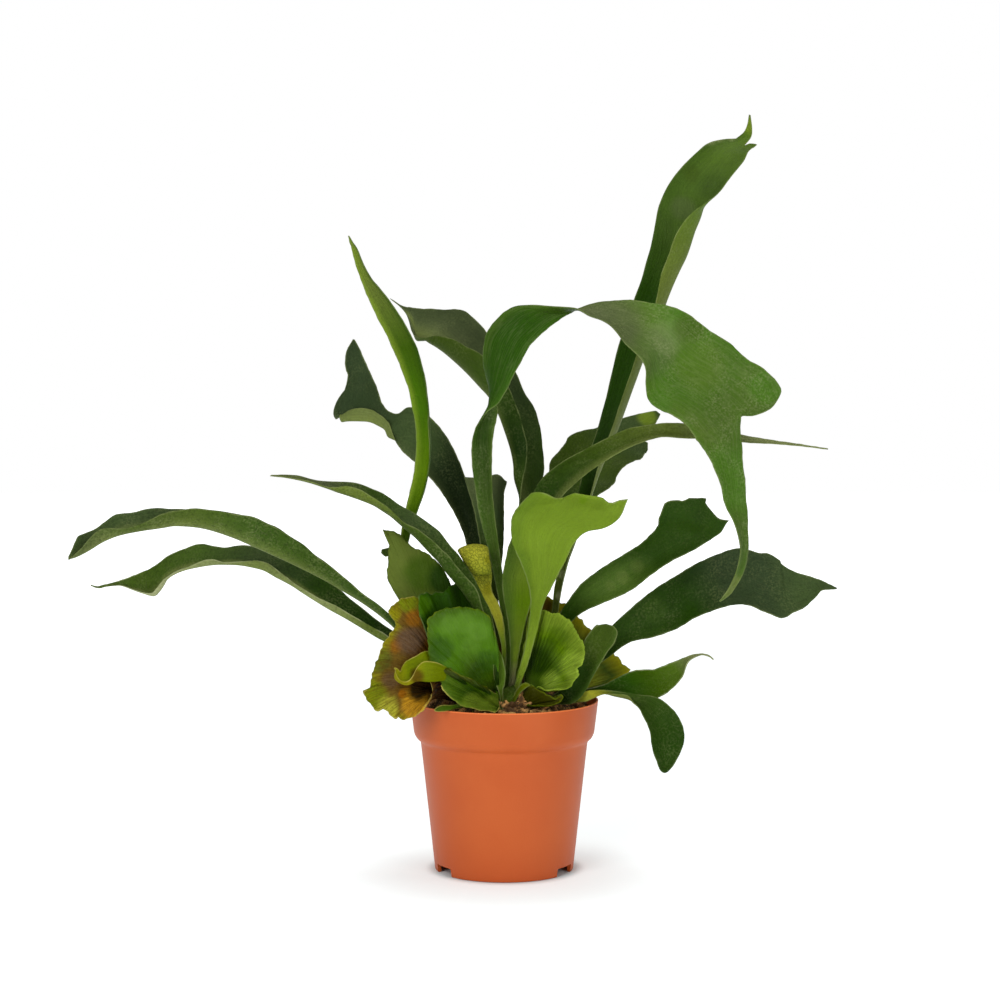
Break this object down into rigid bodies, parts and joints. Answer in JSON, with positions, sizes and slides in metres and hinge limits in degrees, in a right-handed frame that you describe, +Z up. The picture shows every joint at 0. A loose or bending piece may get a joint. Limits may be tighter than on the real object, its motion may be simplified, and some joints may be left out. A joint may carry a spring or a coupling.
{
  "type": "potted staghorn fern",
  "caption": "Staghorn fern in a round nursery pot: arching forked fronds and rounded shield leaves growing from one rhizome in bark soil.",
  "frame": {"origin": "middle of the whole plant's outline seen from above, on the surface that the pot stands on", "axes": "+Z up; +X to the right and -Y towards the viewer in the view with the tall frond on the right"},
  "size_m": [0.4948, 0.1807, 0.4975],
  "materials": {
    "pot": "smooth moulded nursery plastic with a soft satin sheen",
    "soil": "loose bark chips and coarse potting mix",
    "rhizome": "scaly brown creeping stem",
    "frond_dark": "leathery dark green leaf, satin, with pale raised veins",
    "frond_light": "leathery yellow-green leaf, satin, with faint veins",
    "frond_young": "felted young yellow-green leaf",
    "shield_green": "glossy green shield leaf with radiating veins and a pale margin",
    "shield_ageing": "ageing shield leaf, yellow-green at the margin and brown at the heart"
  },
  "bodies": {
    "root": {"pot": "pot", "soil": "soil", "rhizome": "rhizome", "frond_tall_right": "frond_dark", "frond_arching": "frond_dark", "frond_pale_left": "frond_light", "frond_forked_left": "frond_dark", "frond_front": "frond_light", "frond_front_left": "frond_light", "frond_back_dark": "frond_dark", "frond_back_right": "frond_dark", "frond_narrow_right": "frond_dark", "frond_right_upper": "frond_dark", "frond_right_lower": "frond_dark", "frond_short_dark": "frond_dark", "frond_low_right": "frond_dark", "frond_hanging_right": "frond_dark", "frond_left_upper": "frond_dark", "frond_left_lower": "frond_dark", "frond_left_middle": "frond_dark", "frond_small_left": "frond_dark", "frond_back_centre": "frond_dark", "young_frond": "frond_young", "shield_curl": "shield_ageing", "shield_upper_left": "shield_green", "shield_drape_left": "shield_ageing", "shield_front_left": "shield_green", "shield_middle_left": "shield_green", "shield_front_right": "shield_green", "shield_low_left": "shield_green", "shield_low_right": "shield_green", "shield_back_right": "shield_ageing", "shield_back_left": "shield_ageing", "shield_back_middle": "shield_green"}
  },
  "joints": []
}
